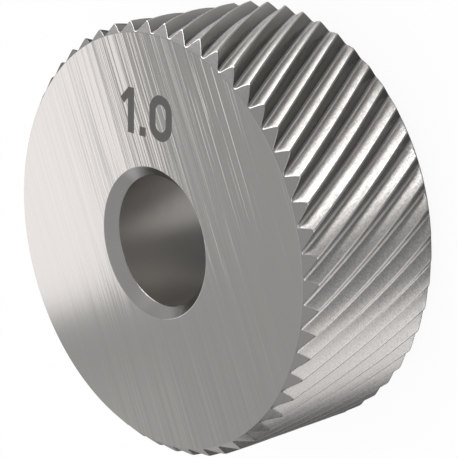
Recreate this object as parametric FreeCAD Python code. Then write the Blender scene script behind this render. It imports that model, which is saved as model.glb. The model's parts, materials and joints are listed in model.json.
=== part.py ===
import FreeCAD, Part
import math
import os

# A knurling wheel: one hardened steel ring with left-hand helical teeth all round its rim.
# It lies on its plain flat face. The bore's axis is +Z, and the origin is where that axis meets
# the lower face. Lengths are in millimetres and angles in degrees.

# The ring
wheel_diameter = 20.0   # over the tips of the teeth
wheel_width = 8.0       # from face to face
bore_diameter = 6.0     # runs on a pin of the holder
bore_chamfer_width = 0.5    # measured across the face, at both ends of the bore
bore_chamfer_depth = 0.5    # measured along the axis

# The teeth. Pitch, land and flat are measured square to a tooth
tooth_pitch = 1.0       # nominal: the wheel has the whole number of teeth that comes nearest
helix_angle = 31.5      # at the tips, away from the axis
profile_angle = 90.0    # between the two flanks of a groove
tip_land = 0.07         # left of the turned rim on top of each tooth
root_flat = 0.1         # at the bottom of each groove

# The bevel that cuts the tooth ends at both faces
end_bevel_width = 0.47  # from the tips inwards, across the face
end_bevel_depth = 0.5   # along the axis

tip_radius = wheel_diameter / 2
bore_radius = bore_diameter / 2
lean = math.radians(helix_angle)
tooth_count = round(math.pi * wheel_diameter * math.cos(lean) / tooth_pitch)
half_pitch = math.pi / tooth_count
lead = math.pi * wheel_diameter / math.tan(lean)

# A cut square to the axis meets the leaning teeth at a slant, so there the land and the flat are
# wider and the flanks stand further open.
land_across = tip_land / math.cos(lean)
flat_across = root_flat / math.cos(lean)
flank_lean = math.atan(math.tan(math.radians(profile_angle) / 2) / math.cos(lean))


def point_at(radius, angle, height=0.0):
    """A point given by its distance from the wheel's axis, its angle round it and its height."""
    return FreeCAD.Vector(radius * math.cos(angle), radius * math.sin(angle), height)


def turned_blank():
    """The ring before its teeth are cut: the half section turned once round the axis."""
    face_inner = bore_radius + bore_chamfer_width
    face_outer = tip_radius - end_bevel_width
    corners = [
        (face_inner, 0),
        (face_outer, 0),
        (tip_radius, end_bevel_depth),
        (tip_radius, wheel_width - end_bevel_depth),
        (face_outer, wheel_width),
        (face_inner, wheel_width),
        (bore_radius, wheel_width - bore_chamfer_depth),
        (bore_radius, bore_chamfer_depth),
    ]
    outline = Part.makePolygon([point_at(r, 0, z) for r, z in corners + corners[:1]])
    return Part.Face(outline).revolve(FreeCAD.Vector(), FreeCAD.Vector(0, 0, 1), 360)


def groove_corners(middle):
    """Three corners of the section square to the axis, for the groove with its middle there.

    The first is the crest halfway to the groove before, where the flanks of the two would meet in
    a sharp edge outside the rim. The other two are the ends of the flat at the root.
    """
    half_groove = half_pitch - land_across / wheel_diameter
    vee_bottom = tip_radius * math.sin(flank_lean - half_groove) / math.sin(flank_lean)
    crest = vee_bottom * math.sin(flank_lean) / math.sin(flank_lean - half_pitch)
    root = vee_bottom + flat_across / 2 / math.tan(flank_lean)
    side = math.atan2(flat_across / 2, root)
    corner = math.hypot(flat_across / 2, root)
    return [
        point_at(crest, middle - half_pitch),
        point_at(corner, middle - side),
        point_at(corner, middle + side),
    ]


def toothed_bar():
    """The toothed section carried up the left-hand helix, a little past both faces.

    A tooth is centred on +X where the bar passes the lower face.
    """
    overrun = end_bevel_depth
    start_turn = 2 * math.pi * overrun / lead
    middles = [start_turn + half_pitch * (2 * tooth + 1) for tooth in range(tooth_count)]
    corners = [corner for middle in middles for corner in groove_corners(middle)]
    helix = Part.makeHelix(lead, wheel_width + 2 * overrun, tip_radius, 0, True)
    sweep = Part.BRepOffsetAPI.MakePipeShell(Part.Wire(helix.Edges))
    sweep.setFrenetMode(True)
    sweep.add(Part.makePolygon(corners + corners[:1]))
    sweep.build()
    sweep.makeSolid()
    bar = sweep.shape()
    bar.translate(FreeCAD.Vector(0, 0, -overrun))
    return bar


def knurling_wheel():
    """The blank with its grooves cut: what the ring and the toothed bar have in common."""
    return turned_blank().common(toothed_bar()).Solids[0]


os.makedirs("parts", exist_ok=True)
knurling_wheel().exportStep("parts/knurling_wheel.step")
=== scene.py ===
import json
import math

import bpy
import numpy as np
from mathutils import Matrix, Vector


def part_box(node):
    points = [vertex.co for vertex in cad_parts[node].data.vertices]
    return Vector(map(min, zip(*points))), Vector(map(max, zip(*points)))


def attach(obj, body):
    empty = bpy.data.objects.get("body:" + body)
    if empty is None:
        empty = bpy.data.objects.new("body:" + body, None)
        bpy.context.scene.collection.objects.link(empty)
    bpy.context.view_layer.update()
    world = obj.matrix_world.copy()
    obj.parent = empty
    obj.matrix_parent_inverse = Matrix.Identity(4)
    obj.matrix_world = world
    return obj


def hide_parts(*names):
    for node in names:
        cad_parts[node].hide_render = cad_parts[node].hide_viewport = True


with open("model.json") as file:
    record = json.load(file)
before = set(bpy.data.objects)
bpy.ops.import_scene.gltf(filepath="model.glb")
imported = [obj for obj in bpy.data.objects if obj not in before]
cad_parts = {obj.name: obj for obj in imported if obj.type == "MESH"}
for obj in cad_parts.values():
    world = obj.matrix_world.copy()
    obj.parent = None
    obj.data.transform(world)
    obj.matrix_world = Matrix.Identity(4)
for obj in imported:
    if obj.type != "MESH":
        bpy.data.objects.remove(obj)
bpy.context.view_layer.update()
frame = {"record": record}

# A knurling wheel that lies in a white studio. One fine grid takes the place of the plain solid:
# it has the same sizes, softly rounded edges, and a finish of its own on each kind of surface.

MM = 0.001
ROOT_BODY = "root"
NODE = "knurling_wheel"

# The wheel's sizes that the frame holds, in metres: its box and its bore
_, BOX_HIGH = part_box(NODE)
BORE = next(m for m in frame["record"]["mounts"] if m["name"] == "bore")["dims"]
TIP_RADIUS = BOX_HIGH.x
WIDTH = BOX_HIGH.z
BORE_RADIUS = BORE["r_mm"] * MM
BORE_CHAMFER_DEPTH = (WIDTH - BORE["length_mm"] * MM) / 2

# The wheel's other sizes, as in the part's source
BORE_CHAMFER_WIDTH = 0.5 * MM
TOOTH_PITCH = 1.0 * MM
HELIX_ANGLE = math.radians(31.5)
PROFILE_ANGLE = math.radians(90)
TIP_LAND = 0.07 * MM
ROOT_FLAT = 0.1 * MM
END_BEVEL_WIDTH = 0.47 * MM
END_BEVEL_DEPTH = 0.5 * MM

# How far the middle of a tooth's flank stands out from the straight line
FLANK_CROWN = 0.016 * MM

# How much the edges are rounded, as radii
CREST_EDGE = 0.035 * MM
TOOTH_END_EDGE = 0.16 * MM
FACE_EDGE = 0.03 * MM
BORE_OUTER_EDGE = 0.05 * MM
BORE_INNER_EDGE = 0.15 * MM

# The largest share of a side that the rounding at one of its ends may take
LARGEST_REACH = 0.48

# How many steps the grid takes round each rounding
CREST_STEPS = 3
ROOT_STEPS = 8
TOOTH_END_STEPS = 4
FACE_STEPS = 2
BORE_OUTER_STEPS = 3
BORE_INNER_STEPS = 4

# How many steps it takes down a flank, along a tooth and along the bore. Other sides are one step
FLANK_STEPS = 4
TOOTH_STEPS = 24
BORE_STEPS = 10


def rounded_path(corners, radii, arc_steps, side_steps):
    """Closed paths through rows of corners, with an arc of a circle at each corner.

    A point on an arc is the weighted mean of its start, its corner and its end, with the weights
    (1-s)^2, 2s(1-s)cos(half the turn) and s^2. Each side is divided evenly between two arcs.
    corners is an array of corner, coordinate and path. The second result says where each row
    lies: corner i is at i, and the side after it is at i + 1/2.
    """
    count = len(corners)
    before = np.roll(corners, 1, axis=0) - corners
    after = np.roll(corners, -1, axis=0) - corners
    length_before = np.linalg.norm(before, axis=1, keepdims=True)
    length_after = np.linalg.norm(after, axis=1, keepdims=True)
    before, after = before / length_before, after / length_after
    opening = np.arccos(np.clip((before * after).sum(axis=1, keepdims=True), -1, 1))
    half_turn = (math.pi - opening) / 2
    wanted = np.reshape(radii, (-1, 1, 1)) * np.tan(half_turn)
    reach = np.minimum(wanted, LARGEST_REACH * np.minimum(length_before, length_after))
    start, end = corners + before * reach, corners + after * reach
    rows, places = [], []
    for i in range(count):
        s = np.linspace(0, 1, arc_steps[i] + 1).reshape(-1, 1, 1)
        weight = 2 * s * (1 - s) * np.cos(half_turn[i])
        total = (1 - s) ** 2 + weight + s**2
        rows.append(((1 - s) ** 2 * start[i] + weight * corners[i] + s**2 * end[i]) / total)
        places.append(i + (s.ravel() - 0.5) / 2)
        t = np.arange(1, side_steps[i]).reshape(-1, 1, 1) / side_steps[i]
        rows.append(end[i] + (start[(i + 1) % count] - end[i]) * t)
        places.append(i + 0.25 + t.ravel() / 2)
    return np.concatenate(rows), np.concatenate(places)


def toothed_section():
    """The section square to the axis: radius and angle of every column of the grid.

    Each tooth gives three corners: both edges of its land, and the bottom of the vee after it.
    The vee's arc is as deep as the flat that the solid has there. At a share s of the way down a
    flank, the flank stands 4s(1-s) of its crown further out, measured square to it.
    """
    teeth = round(2 * math.pi * TIP_RADIUS * math.cos(HELIX_ANGLE) / TOOTH_PITCH)
    half_pitch = math.pi / teeth
    half_land = TIP_LAND / math.cos(HELIX_ANGLE) / 2 / TIP_RADIUS
    flank_lean = math.atan(math.tan(PROFILE_ANGLE / 2) / math.cos(HELIX_ANGLE))
    half_groove = half_pitch - half_land
    vee_radius = TIP_RADIUS * math.sin(flank_lean - half_groove) / math.sin(flank_lean)
    flat_depth = ROOT_FLAT / math.cos(HELIX_ANGLE) / 2 / math.tan(flank_lean)
    root_edge = flat_depth / (1 / math.sin(flank_lean) - 1)
    middles = np.arange(teeth)[:, None] * 2 * half_pitch
    angles = (middles + np.array([-half_land, half_land, half_pitch])).ravel()
    radii = np.tile([TIP_RADIUS, TIP_RADIUS, vee_radius], teeth)
    corners = np.stack([radii * np.cos(angles), radii * np.sin(angles)], axis=1)[:, :, None]
    path, places = rounded_path(
        corners,
        np.tile([CREST_EDGE, CREST_EDGE, root_edge], teeth),
        np.tile([CREST_STEPS, CREST_STEPS, ROOT_STEPS], teeth),
        np.tile([1, FLANK_STEPS, FLANK_STEPS], teeth),
    )
    x, y = path[:, 0, 0], path[:, 1, 0]
    share = np.clip(2 * (places % 1) - 0.5, 0, 1)
    crown = 4 * share * (1 - share) * FLANK_CROWN
    return np.hypot(x, y) + crown / math.sin(flank_lean), np.arctan2(y, x)


def wheel_surface():
    """The whole ring as one grid, closed both ways: points, and where each row lies.

    Every column follows the ring's half section out along the upper face, down one line of a
    tooth, back along the lower face and up the bore. It meets the end bevel at the height where
    the bevel's cone has the column's own radius, and turns with height by the helix.
    """
    radius, angle = toothed_section()
    face_outer = TIP_RADIUS - END_BEVEL_WIDTH
    face_inner = BORE_RADIUS + BORE_CHAMFER_WIDTH
    cut = END_BEVEL_DEPTH * (radius - face_outer) / END_BEVEL_WIDTH
    same = np.ones_like(radius)
    corners = np.array([
        [same * BORE_RADIUS, same * (WIDTH - BORE_CHAMFER_DEPTH)],
        [same * face_inner, same * WIDTH],
        [same * face_outer, same * WIDTH],
        [radius, WIDTH - cut],
        [radius, cut],
        [same * face_outer, same * 0],
        [same * face_inner, same * 0],
        [same * BORE_RADIUS, same * BORE_CHAMFER_DEPTH],
    ])
    edges = [BORE_INNER_EDGE, BORE_OUTER_EDGE, FACE_EDGE, TOOTH_END_EDGE]
    steps = [BORE_INNER_STEPS, BORE_OUTER_STEPS, FACE_STEPS, TOOTH_END_STEPS]
    path, places = rounded_path(
        corners,
        edges + edges[::-1],
        steps + steps[::-1],
        [1, 1, 1, TOOTH_STEPS, 1, 1, 1, BORE_STEPS],
    )
    r, z = path[:, 0], path[:, 1]
    helix = angle - z * math.tan(HELIX_ANGLE) / TIP_RADIUS
    return np.stack([r * np.cos(helix), r * np.sin(helix), z], axis=-1), places


def grid_normals(points):
    """Normals of a grid that is closed both ways, each weighted by the areas round its point.

    A cell's own normal times its area is half the cross product of its two diagonals.
    """
    beyond = np.roll(points, -1, axis=0)
    rising = np.roll(beyond, -1, axis=1) - points
    falling = np.roll(points, -1, axis=1) - beyond
    cells = np.cross(rising, falling)
    cells = cells + np.roll(cells, 1, axis=0)
    cells = cells + np.roll(cells, 1, axis=1)
    return cells / np.linalg.norm(cells, axis=-1, keepdims=True)


def grid_mesh(name, points, finish_of_row, finishes):
    """An object from a grid of points that is closed both ways, with smooth edges."""
    rows, columns = points.shape[:2]
    index = np.arange(rows * columns).reshape(rows, columns)
    above, beside = np.roll(index, -1, axis=0), np.roll(index, -1, axis=1)
    faces = np.stack([index, above, np.roll(above, -1, axis=1), beside], axis=-1).reshape(-1, 4)
    mesh = bpy.data.meshes.new(name)
    mesh.vertices.add(rows * columns)
    mesh.vertices.foreach_set("co", points.ravel())
    mesh.loops.add(faces.size)
    mesh.loops.foreach_set("vertex_index", faces.ravel())
    mesh.polygons.add(len(faces))
    mesh.polygons.foreach_set("loop_start", np.arange(len(faces)) * 4)
    mesh.update(calc_edges=True)
    mesh.polygons.foreach_set("use_smooth", np.ones(len(faces), bool))
    for finish in finishes:
        mesh.materials.append(finish)
    mesh.polygons.foreach_set("material_index", np.repeat(finish_of_row, columns))
    mesh.normals_split_custom_set_from_vertices(grid_normals(points).reshape(-1, 3))
    piece = bpy.data.objects.new(name, mesh)
    bpy.context.scene.collection.objects.link(piece)
    return piece


class Value:
    """A number that varies over a surface or round the studio: what one socket gives.

    An expression on values adds its Math nodes.
    """

    def __init__(self, shader, socket):
        self.shader = shader
        self.socket = socket

    def __add__(self, other):
        return self.shader.math("ADD", self, other)

    def __radd__(self, other):
        return self.shader.math("ADD", other, self)

    def __sub__(self, other):
        return self.shader.math("SUBTRACT", self, other)

    def __rsub__(self, other):
        return self.shader.math("SUBTRACT", other, self)

    def __mul__(self, other):
        return self.shader.math("MULTIPLY", self, other)

    def __rmul__(self, other):
        return self.shader.math("MULTIPLY", other, self)

    def __truediv__(self, other):
        return self.shader.math("DIVIDE", self, other)

    def __pow__(self, other):
        return self.shader.math("POWER", self, other)

    def __neg__(self):
        return self.shader.math("MULTIPLY", self, -1)

    def __abs__(self):
        return self.shader.math("ABSOLUTE", self)

    def larger(self, other):
        """The larger of the two numbers."""
        return self.shader.math("MAXIMUM", self, other)

    def rise(self, low, high):
        """From 0 at low to 1 at high, smoothly."""
        return self.shader.node(
            "ShaderNodeMapRange",
            {"interpolation_type": "SMOOTHSTEP"},
            {"Value": self, "From Min": low, "From Max": high},
        )


class Shader:
    """The node tree of a material or world, and the one way to add a node to it."""

    def __init__(self, owner):
        self.owner = owner
        owner.use_nodes = True
        self.tree = owner.node_tree
        self.tree.nodes.clear()

    def node(self, kind, settings=None, sockets=None, output=0):
        made = self.tree.nodes.new(kind)
        for name, setting in (settings or {}).items():
            setattr(made, name, setting)
        for name, given in (sockets or {}).items():
            if isinstance(given, Value):
                self.tree.links.new(given.socket, made.inputs[name])
            else:
                made.inputs[name].default_value = given
        return Value(self, made.outputs[output]) if made.outputs else None

    def math(self, operation, *numbers):
        return self.node("ShaderNodeMath", {"operation": operation}, dict(enumerate(numbers)))

    def parts(self, vector):
        """The three numbers of a vector."""
        return [
            self.node("ShaderNodeSeparateXYZ", None, {"Vector": vector}, axis) for axis in "XYZ"
        ]

    def mix(self, share, colour, other):
        """One colour going over into another as share goes from 0 to 1.

        The node has sockets for each type of data. Inputs 6 and 7 and output 2 are the colours.
        """
        return self.node(
            "ShaderNodeMix", {"data_type": "RGBA"}, {0: share, 6: colour, 7: other}, 2
        )

    def place(self):
        """Where on the piece a point lies, in metres."""
        return self.node("ShaderNodeTexCoord", output="Object")


def turned(x, y, angle):
    """A place in axes that are turned by an angle."""
    cos, sin = math.cos(angle), math.sin(angle)
    return x * cos + y * sin, y * cos - x * sin


def soft_strip(across, width, edge):
    """1 inside a strip about 0 and 0 outside, its sides fading over the width of edge."""
    return 1 - abs(across).rise((width - edge) / 2, (width + edge) / 2)


def soft_box(across, up, width, height, edge):
    """1 where two soft strips cross, and 0 outside."""
    return soft_strip(across, width, edge) * soft_strip(up, height, edge)


WHITE = (1, 1, 1, 1)

# The steel's colours: on the flat faces and their grinding lines, on bevels and chamfers, in the
# bore, on the teeth, painted shade on their darker side and root, a painted highlight on roots
# and crests, and where it is marked
GROUND_STEEL = (0.63, 0.62, 0.594, 1)
GROUND_LINES = (0.617, 0.607, 0.582, 1)
BEVEL_STEEL = (0.54, 0.53, 0.512, 1)
BORE_STEEL = (0.58, 0.562, 0.534, 1)
LIGHT_FLANK = (0.66, 0.649, 0.624, 1)
SPECKLED_FLANK = (0.53, 0.522, 0.501, 1)
# Painted shade: the teeth's darker side, and darker still at its root
PAINTED_SHADE_FLANK = (0.31, 0.305, 0.278, 1)
PAINTED_SHADE_ROOT = (0.09, 0.088, 0.078, 1)
# A painted highlight on the roots and crests of the teeth
PAINTED_HIGHLIGHT = (0.86, 0.84, 0.82, 1)
MARKED_STEEL = (0.092, 0.09, 0.085, 1)

# How rough each finish is, where 0 is a mirror
FACE_ROUGHNESS = 0.08
MARK_ROUGHNESS = 0.48
BEVEL_ROUGHNESS = 0.22
BORE_ROUGHNESS = 0.36
LIGHT_FLANK_ROUGHNESS = 0.38
DARK_FLANK_ROUGHNESS = 0.2

# The size of the grains along X, Y and Z in each finish. 1 m stands for no change along Z
FINE_LINES = (14 * MM, 0.06 * MM, 1)
BROAD_LINES = (25 * MM, 0.5 * MM, 1)
SCRATCHES = (9 * MM, 0.05 * MM, 1)
TURNED_LINES = (3 * MM, 3 * MM, 0.075 * MM)
SPECKS = (0.1 * MM, 0.1 * MM, 0.06 * MM)

# The values of the noise between which each grain goes from none to full. The noise itself lies
# between 0 and 1, and so does the grain: both have the same middle
FINE_RANGE = (0.34, 0.66)
BROAD_RANGE = (0.3, 0.7)
SCRATCH_RANGE = (0.7, 0.76)
SPECK_RANGE = (0.35, 0.65)
MIDDLE = 0.5

# How steeply the surface leans in each kind of grain, and how full the fine lines are where the
# face stands level
FINE_SLOPE = 0.019
BROAD_SLOPE = 0.006
SCRATCH_SLOPE = 0.028
BORE_SLOPE = 0.05
BEVEL_SLOPE = 0.1
LIGHT_FLANK_SLOPE = 0.3
DARK_FLANK_SLOPE = 0.08
LEVEL_LINES = 0.15

# The depth of the grooves to the middle of their roots, the shares of it between which roots and
# crests go over into a painted highlight, and how far round the wheel the normal leans on each
# side of the teeth before that side has its full finish
TOOTH_DEPTH = 0.425 * MM
ROOT_HIGHLIGHT = (0.93, 0.98)
CREST_HIGHLIGHT = (0.0, 0.06)
SIDE_LEAN = 0.3

# The pitch in millimetres, marked on the upper face: its middle, its reading direction as an
# angle from +X, the height and line width of its figures, and how softly the lines end
MARK_MIDDLE = (5.4 * MM, -2.3 * MM)
MARK_ANGLE = math.radians(-115.8)
FIGURE_HEIGHT = 2.1 * MM
FIGURE_LINE = 0.43 * MM
FIGURE_SOFTNESS = 0.04 * MM

# Where the strokes of its figures stand: the upright and the flag of the 1, the point, and the 0
STEM_ACROSS = -0.62 * FIGURE_HEIGHT
FLAG_ACROSS = -0.78 * FIGURE_HEIGHT
FLAG_UP = 0.3 * FIGURE_HEIGHT
FLAG_LENGTH = 0.36 * FIGURE_HEIGHT
FLAG_LINE = 0.8 * FIGURE_LINE
FLAG_ANGLE = math.radians(45)
POINT_ACROSS = -0.24 * FIGURE_HEIGHT
RING_ACROSS = 0.34 * FIGURE_HEIGHT
RING_RADIUS = 0.26 * FIGURE_HEIGHT


def metal(shader, **sockets):
    """Ends a material with bare steel."""
    steel = shader.node("ShaderNodeBsdfPrincipled", None, {"Metallic": 1.0, **sockets})
    shader.node("ShaderNodeOutputMaterial", None, {"Surface": steel})


def grain(shader, place, size, detail=1):
    """Noise whose grains have the given size along X, Y and Z."""
    scaled = shader.node(
        "ShaderNodeMapping", None, {"Vector": place, "Scale": [1 / s for s in size]}
    )
    return shader.node(
        "ShaderNodeTexNoise", None, {"Vector": scaled, "Scale": 1.0, "Detail": detail}
    )


def tilted(shader, axis, slope):
    """The surface's own normal, leaning along an axis by a slope."""
    lean = shader.node("ShaderNodeCombineXYZ", None, {axis: slope})
    upright = shader.node("ShaderNodeNewGeometry", output="Normal")
    leaning = shader.node("ShaderNodeVectorMath", {"operation": "ADD"}, {0: upright, 1: lean})
    return shader.node("ShaderNodeVectorMath", {"operation": "NORMALIZE"}, {0: leaning})


def turned_lines(shader, slope):
    """A normal with the fine lines of turning, which lie at one height right round the wheel."""
    lines = grain(shader, shader.place(), TURNED_LINES)
    return tilted(shader, "Z", slope * (lines - MIDDLE))


def stroke(across, up, width, height):
    """One stroke of the mark, from the distances to its middle."""
    return soft_box(across, up, width, height, FIGURE_SOFTNESS)


def pitch_mark(place_x, place_y):
    """The figures 1.0 as a mask: two strokes, a square point, and a ring round a short line.

    A place's distance from that upright line, whose middle is the ring's, is the length of
    (aside, max(|up| - half the line, 0)).
    """
    across, up = turned(place_x - MARK_MIDDLE[0], place_y - MARK_MIDDLE[1], MARK_ANGLE)
    stem = stroke(across - STEM_ACROSS, up, FIGURE_LINE, FIGURE_HEIGHT)
    along_flag, beside_flag = turned(across - FLAG_ACROSS, up - FLAG_UP, FLAG_ANGLE)
    flag = stroke(along_flag, beside_flag, FLAG_LENGTH, FLAG_LINE)
    outermost = (FIGURE_HEIGHT - FIGURE_LINE) / 2
    point = stroke(across - POINT_ACROSS, up + outermost, FIGURE_LINE, FIGURE_LINE)
    aside = across - RING_ACROSS
    above = (abs(up) - (outermost - RING_RADIUS)).larger(0.0)
    distance = (aside * aside + above * above) ** 0.5
    ring = soft_strip(distance - RING_RADIUS, FIGURE_LINE, FIGURE_SOFTNESS)
    return stem.larger(flag).larger(point).larger(ring)


def ground_face():
    """The flat faces: ground in straight lines along X, with a few deeper scratches.

    The upper one, which faces up, carries the mark.
    """
    shader = Shader(bpy.data.materials.new("ground_face"))
    place = shader.place()
    fine = grain(shader, place, FINE_LINES).rise(*FINE_RANGE)
    broad = grain(shader, place, BROAD_LINES).rise(*BROAD_RANGE)
    scratches = grain(shader, place, SCRATCHES, detail=0).rise(*SCRATCH_RANGE)
    slope = (
        FINE_SLOPE * (fine - LEVEL_LINES)
        + BROAD_SLOPE * (broad - MIDDLE)
        + SCRATCH_SLOPE * scratches
    )
    x, y, z = shader.parts(place)
    mark = pitch_mark(x, y) * z.rise(WIDTH / 2, WIDTH)
    steel = shader.mix(fine, GROUND_LINES, GROUND_STEEL)
    metal(shader, **{
        "Base Color": shader.mix(mark, steel, MARKED_STEEL),
        "Metallic": 1 - mark,
        "Roughness": FACE_ROUGHNESS + (MARK_ROUGHNESS - FACE_ROUGHNESS) * mark,
        "Normal": tilted(shader, "Y", slope),
    })
    return shader.owner


def turned_steel(name, colour, roughness, slope):
    """A finish that is left by turning."""
    shader = Shader(bpy.data.materials.new(name))
    normal = turned_lines(shader, slope)
    metal(shader, **{"Base Color": colour, "Roughness": roughness, "Normal": normal})
    return shader.owner


def tooth_flank():
    """The teeth: one side of each is rougher from the cut; the other is darkened with painted
    shade.

    The side is read from how far the normal leans round the wheel: (x ny - y nx) / r.
    """
    shader = Shader(bpy.data.materials.new("tooth_flank"))
    place = shader.place()
    x, y, _ = shader.parts(place)
    normal_x, normal_y, _ = shader.parts(shader.node("ShaderNodeNewGeometry", output="Normal"))
    radius = (x * x + y * y) ** 0.5
    depth = (TIP_RADIUS - radius) / TOOTH_DEPTH
    side = ((x * normal_y - y * normal_x) / radius).rise(-SIDE_LEAN, SIDE_LEAN)
    specks = grain(shader, place, SPECKS)
    light = shader.mix(specks.rise(*SPECK_RANGE), SPECKLED_FLANK, LIGHT_FLANK)
    # Painted shade: the darker side of the teeth, darker still toward the root
    painted_shade = shader.mix(depth, PAINTED_SHADE_FLANK, PAINTED_SHADE_ROOT)
    colour = shader.mix(side, painted_shade, light)
    # Painted highlight: roots and crests go over into a bright colour
    colour = shader.mix(depth.rise(*ROOT_HIGHLIGHT), colour, PAINTED_HIGHLIGHT)
    colour = shader.mix(1 - depth.rise(*CREST_HIGHLIGHT), colour, PAINTED_HIGHLIGHT)
    slope = DARK_FLANK_SLOPE + (LIGHT_FLANK_SLOPE - DARK_FLANK_SLOPE) * side
    metal(shader, **{
        "Base Color": colour,
        "Roughness": DARK_FLANK_ROUGHNESS + (LIGHT_FLANK_ROUGHNESS - DARK_FLANK_ROUGHNESS) * side,
        "Normal": tilted(shader, "Z", slope * (specks - MIDDLE)),
    })
    return shader.owner


def knurling_wheel():
    """The wheel, with a finish on each side of its half section.

    A row of cells has the finish of the side that its middle lies on, up to halfway round the
    roundings at both ends.
    """
    points, places = wheel_surface()
    face = ground_face()
    bore = turned_steel("turned_bore", BORE_STEEL, BORE_ROUGHNESS, BORE_SLOPE)
    flank = tooth_flank()
    bevel = turned_steel("turned_bevel", BEVEL_STEEL, BEVEL_ROUGHNESS, BEVEL_SLOPE)
    finishes = [face, bore, flank, bevel]
    sides = [bevel, face, bevel, flank, bevel, face, bevel, bore]
    beyond = np.append(places[1:], places[0] + len(sides))
    side = np.floor((places + beyond) / 2).astype(int) % len(sides)
    finish_of_row = np.array([finishes.index(finish) for finish in sides])[side]
    piece = grid_mesh("wheel", points, finish_of_row, finishes)
    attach(piece, ROOT_BODY)
    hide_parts(NODE)


# The camera: its picture's width and focal length in pixels, its sensor's width in millimetres,
# the nearest that it sees, where it stands round the wheel, and the point of the upper face that
# it looks at
IMAGE_WIDTH = 458
FOCAL_PIXELS = 2123.9
SENSOR_WIDTH = 36
NEAREST_SEEN = 1 * MM
VIEW_AZIMUTH = math.radians(-2.553)
VIEW_ELEVATION = math.radians(40.5615)
VIEW_ROLL = math.radians(104.739)
VIEW_DISTANCE = 91.497 * MM
AIM = Vector((-0.4807 * MM, -5.2783 * MM, WIDTH))


def photo_camera():
    """The camera at the photograph's viewing angle."""
    data = bpy.data.cameras.new("camera")
    data.sensor_width = SENSOR_WIDTH
    data.lens = FOCAL_PIXELS * SENSOR_WIDTH / IMAGE_WIDTH
    data.clip_start = NEAREST_SEEN
    back = Vector((
        math.sin(VIEW_AZIMUTH) * math.cos(VIEW_ELEVATION),
        -math.cos(VIEW_AZIMUTH) * math.cos(VIEW_ELEVATION),
        math.sin(VIEW_ELEVATION),
    ))
    camera = bpy.data.objects.new("camera", data)
    camera.matrix_world = (
        Matrix.Translation(AIM + back * VIEW_DISTANCE)
        @ back.to_track_quat("Z", "Y").to_matrix().to_4x4()
        @ Matrix.Rotation(-VIEW_ROLL, 4, "Z")
    )
    bpy.context.scene.collection.objects.link(camera)
    bpy.context.scene.camera = camera


# The studio as the wheel reflects it, in degrees. Azimuth is 0 on the camera's side and 90 on
# the side of +X. Each card has its middle, its size, its lean, how softly it ends, and its level.
# As the level rises from the room's to the tint's, white goes over into the bright cards' tint
ROOM_LEVEL = 0.42
TINT_LEVEL = 1.25
CARD_TINT = (1, 0.967, 0.975, 1)
CARDS = [
    ((0, -60), (400, 80), 0, 14, 0.32),
    ((0, 90), (400, 40), 0, 40, 0.85),
    ((-86, -6), (80, 34), 0, 12, 0.035),
    ((34, 2), (44, 40), 0, 8, 0.28),
    ((38, -42), (104, 40), 0, 8, 0.08),
    ((-14, -5), (50, 21), 12, 6, 1.68),
    ((-62, -72), (60, 52), 0, 8, 0.95),
    ((-160, -53), (60, 26), 0, 10, 0.2),
    ((110, -68), (26, 26), 0, 10, 0.7),
    ((138, -57), (50, 28), 0, 12, 0.5),
    ((160, -36), (44, 28), 0, 10, 0.08),
    ((70, -87), (140, 20), 0, 8, 0.85),
    ((-142, 6), (24, 26), 0, 8, 0.62),
    ((118, 36), (66, 34), 0, 10, 0.38),
    ((80, 28), (40, 14), 0, 8, 0.52),
    ((112, 9), (80, 18), -26, 8, 0.5),
    ((77, 1), (35, 20), 0, 9, 6.0),
    ((107, -7.5), (50, 20), -26, 8, 4.2),
    ((164.3, 28.5), (28.8, 18.8), 0, 1.2, 1.3),
    ((179.9, 42.1), (20, 10), -37, 1.6, 0.42),
    ((-171.5, 30), (14, 14), 0, 3, 0.51),
]


def studio_level(azimuth, elevation):
    """What the metal sees of the studio: each card laid over what lies behind it."""
    level = ROOM_LEVEL
    for (middle, height), (width, tall), lean, edge, card in CARDS:
        across, up = turned(azimuth - middle, elevation - height, math.radians(lean))
        mask = soft_box(across, up, width, tall, edge)
        level = level + mask * (card - level)
    return level


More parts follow.
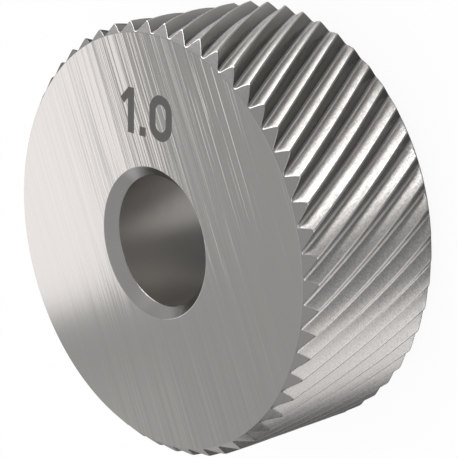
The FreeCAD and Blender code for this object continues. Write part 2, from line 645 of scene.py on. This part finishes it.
def studio_world():
    """Even white light on all that is matt, and the studio's cards in all that is polished."""
    world = bpy.data.worlds.new("studio")
    bpy.context.scene.world = world
    shader = Shader(world)
    direction = shader.node("ShaderNodeTexCoord", output="Generated")
    x, y, z = shader.parts(direction)
    azimuth = shader.math("ARCTAN2", x, -y) * math.degrees(1)
    elevation = shader.math("ARCSINE", z) * math.degrees(1)
    reflected = studio_level(azimuth, elevation)
    glossy = shader.node("ShaderNodeLightPath", output="Is Glossy Ray")
    level = 1 + glossy * (reflected - 1)
    tint = shader.mix(glossy * reflected.rise(ROOM_LEVEL, TINT_LEVEL), WHITE, CARD_TINT)
    sky = shader.node("ShaderNodeBackground", None, {"Color": tint, "Strength": level})
    shader.node("ShaderNodeOutputWorld", None, {"Surface": sky})


# The floor: how far it reaches, and how much of the wheel's shadow it shows. The shade that the
# metal sees beside the wheel is a ring from one radius to another with a soft edge. Away from the
# camera's side it ends, fading from the first y to the second
FLOOR_REACH = 400 * MM
SHADOW_SHARE = 0.08
SHADE_RING = (8.95 * MM, 11.05 * MM)
SHADE_EDGE = 0.5 * MM
SHADE_END = (-9 * MM, -3.5 * MM)
SHADE_LEVEL = 0.14


def floor():
    """A white floor. The metal sees the room through it, apart from the shade by the wheel."""
    corners = FLOOR_REACH * np.array([[-1, -1, 0], [1, -1, 0], [1, 1, 0], [-1, 1, 0]])
    mesh = bpy.data.meshes.new("floor")
    mesh.from_pydata(corners.tolist(), [], [[0, 1, 2, 3]])
    piece = bpy.data.objects.new("floor", mesh)
    bpy.context.scene.collection.objects.link(piece)
    material = bpy.data.materials.new("floor")
    mesh.materials.append(material)
    shader = Shader(material)
    x, y, _ = shader.parts(shader.place())
    radius = (x * x + y * y) ** 0.5
    white = shader.node("ShaderNodeEmission", None, {"Color": WHITE, "Strength": 1.0})
    matt = shader.node("ShaderNodeBsdfDiffuse", None, {"Color": WHITE})
    plain = shader.node("ShaderNodeMixShader", None, {0: SHADOW_SHARE, 1: white, 2: matt})
    shade = shader.node("ShaderNodeEmission", None, {"Strength": SHADE_LEVEL})
    clear = shader.node("ShaderNodeBsdfTransparent", None, {"Color": WHITE})
    inner, outer = SHADE_RING
    ring = soft_strip(radius - (inner + outer) / 2, outer - inner, SHADE_EDGE)
    open_share = (1 - ring).larger(y.rise(*SHADE_END))
    mirrored = shader.node("ShaderNodeMixShader", None, {0: open_share, 1: shade, 2: clear})
    glossy = shader.node("ShaderNodeLightPath", output="Is Glossy Ray")
    seen = shader.node("ShaderNodeMixShader", None, {0: glossy, 1: plain, 2: mirrored})
    shader.node("ShaderNodeOutputMaterial", None, {"Surface": seen})


knurling_wheel()
photo_camera()
studio_world()
floor()

bpy.context.scene.view_settings.view_transform = "Standard"
